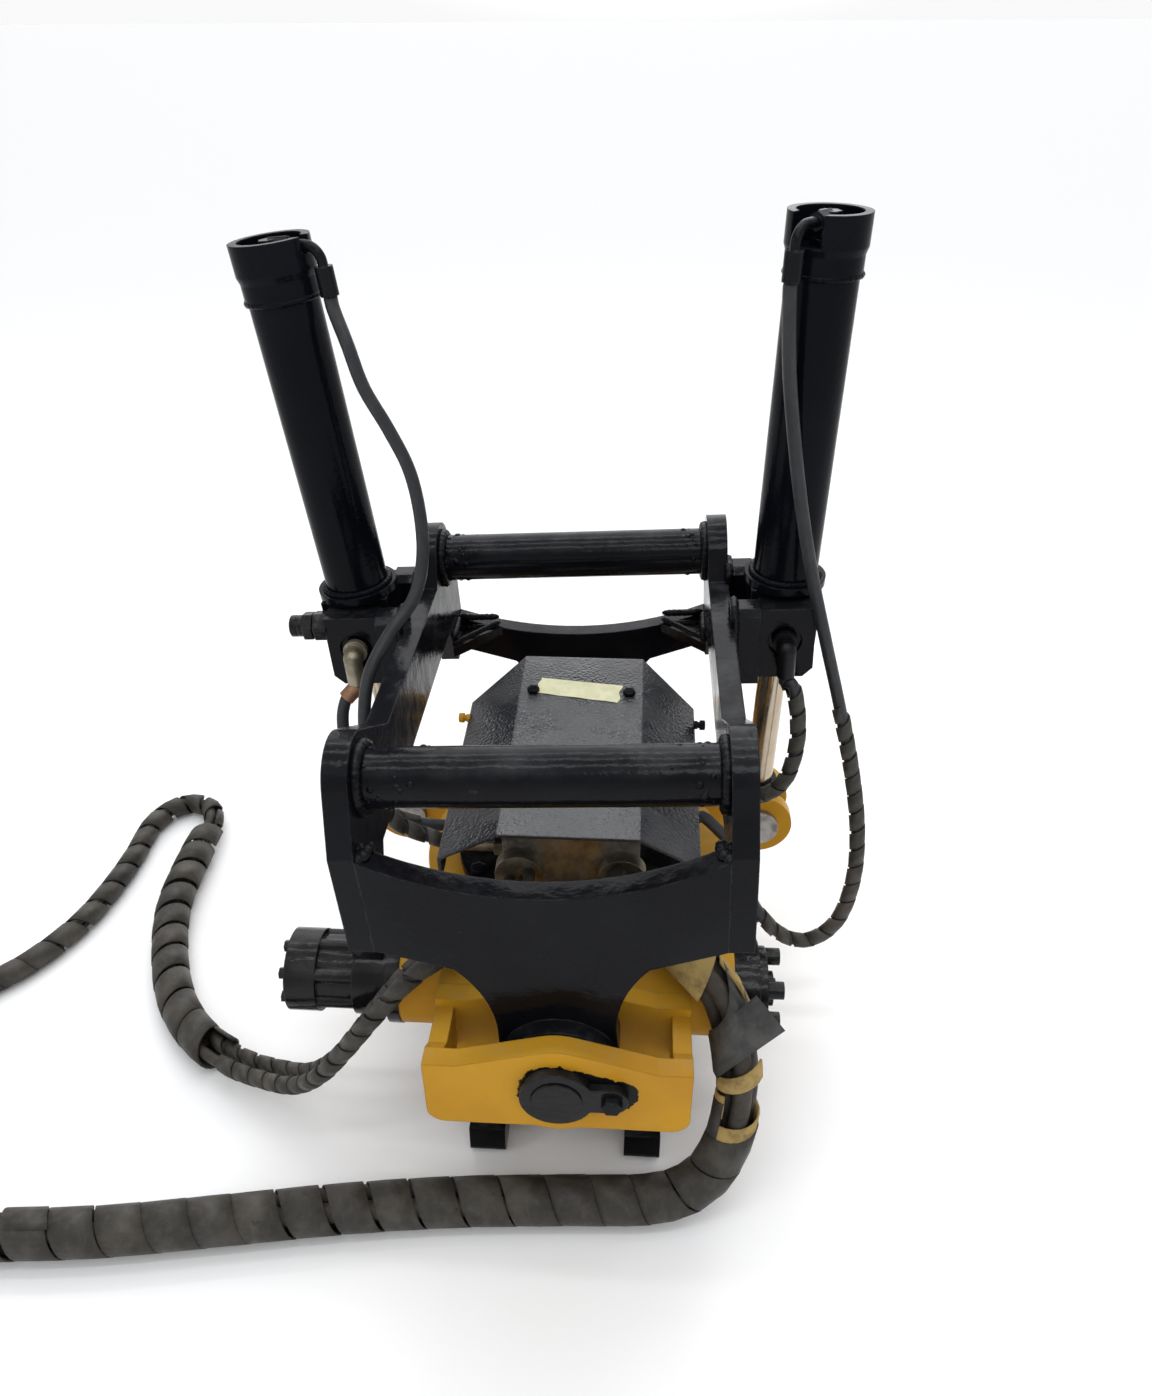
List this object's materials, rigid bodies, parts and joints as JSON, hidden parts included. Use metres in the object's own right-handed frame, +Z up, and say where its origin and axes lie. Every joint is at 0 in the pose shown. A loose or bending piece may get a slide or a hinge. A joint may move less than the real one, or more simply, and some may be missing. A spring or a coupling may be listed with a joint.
{
  "type": "excavator tilt rotator",
  "caption": "Tilt rotator for an excavator: pin-on upper hitch tilted by hydraulic cylinders over a worm-driven rotor with a hooked quick hitch below.",
  "frame": {"origin": "on the ground, under the rotor's axis", "axes": "+Z up along the rotor's axis, +X to the right along the worm and the cross pins, +Y to the rear along the tilt axis"},
  "size_m": [1.4055, 0.8141, 0.9974],
  "materials": {
    "black_paint": "gloss",
    "yellow_paint": "semi-gloss",
    "grey_paint": "satin",
    "steel": "satin",
    "plated": "satin",
    "rubber": "matte"
  },
  "bodies": {
    "housing": {"rotor_housing": "yellow_paint", "front_bracket": "yellow_paint", "rear_bracket": "yellow_paint", "tilt_pins": "steel", "pin_locks": "black_paint", "rod_pins": "steel", "top_plate": "black_paint", "housing_bolts": "black_paint", "slew_ring_outer": "steel", "worm_bearings": "steel", "end_cap": "black_paint", "motor_adapter": "black_paint", "motor": "black_paint", "drive_bolts": "steel", "manifold": "steel", "manifold_fittings": "plated", "cover": "grey_paint", "cover_posts": "plated", "left_cap_hose": "rubber", "right_cap_hose": "rubber", "left_port_hose": "rubber", "right_port_hose": "rubber", "left_feed": "rubber", "left_tail": "rubber", "right_feed": "rubber", "feed_couplings": "plated"},
    "hitch": {"side_plates": "black_paint", "cross_pins": "black_paint", "front_end_plate": "black_paint", "rear_end_plate": "black_paint", "corner_gussets": "black_paint", "eye_bushes": "steel", "trunnion_ears": "black_paint", "trunnion_blocks": "black_paint", "cartridge_valve": "steel", "port_fittings": "plated"},
    "left_cylinder": {"left_head": "black_paint", "left_barrel": "black_paint", "left_collar": "black_paint", "left_gland": "steel", "left_elbow": "black_paint"},
    "right_cylinder": {"right_head": "black_paint", "right_barrel": "black_paint", "right_collar": "black_paint", "right_gland": "steel", "right_elbow": "black_paint"},
    "left_rod_body": {"left_rod": "steel", "left_piston": "steel", "left_rod_eye": "black_paint"},
    "right_rod_body": {"right_rod": "steel", "right_piston": "steel", "right_rod_eye": "black_paint"},
    "worm": {"worm_shaft": "steel"},
    "rotor": {"rotor_core": "steel", "slew_ring_inner": "steel", "worm_wheel": "steel", "hook_plates": "black_paint", "hook_beams": "black_paint", "lock_cylinder": "black_paint"},
    "lock": {"lock_pins": "steel"}
  },
  "joints": [
    {"name": "tilt", "type": "hinge", "parent": "housing", "child": "hitch", "pos_m": [0, 0, 0.233], "axis": [0, -1, 0], "range_deg": [-43, 37], "deforming": ["left_cap_hose", "right_cap_hose", "left_port_hose", "right_port_hose"]},
    {"name": "rotor_spin", "type": "hinge", "parent": "housing", "child": "rotor", "pos_m": [0, 0, 0], "axis": [0, 0, 1], "continuous": true},
    {"name": "worm_spin", "type": "hinge", "parent": "housing", "child": "worm", "pos_m": [0, -0.18, 0.212], "axis": [1, 0, 0], "continuous": true},
    {"name": "lock_slide", "type": "slide", "parent": "rotor", "child": "lock", "axis": [0, 1, 0], "range_m": [-0.055, 0]},
    {"name": "left_trunnion", "type": "hinge", "parent": "hitch", "child": "left_cylinder", "pos_m": [-0.27656, 0.14, 0.5039], "axis": [0, -1, 0], "range_deg": [-1, 1]},
    {"name": "left_rod_slide", "type": "slide", "parent": "left_cylinder", "child": "left_rod_body", "axis": [0.1151, 0, -0.9934], "range_m": [-0.15, 0.174]},
    {"name": "right_trunnion", "type": "hinge", "parent": "hitch", "child": "right_cylinder", "pos_m": [0.24672, 0.14, 0.53132], "axis": [0, -1, 0], "range_deg": [-1, 1]},
    {"name": "right_rod_slide", "type": "slide", "parent": "right_cylinder", "child": "right_rod_body", "axis": [-0.0088, 0, -1], "range_m": [-0.174, 0.15]}
  ],
  "couplings": [
    {"joint": "worm_spin", "follows": "rotor_spin", "ratio": 38},
    {"joint": "left_trunnion", "follows": "tilt", "ratio": -0.02},
    {"joint": "left_rod_slide", "follows": "tilt", "m_per_rad": -0.23},
    {"joint": "right_trunnion", "follows": "tilt", "ratio": -0.02},
    {"joint": "right_rod_slide", "follows": "tilt", "m_per_rad": 0.23}
  ]
}
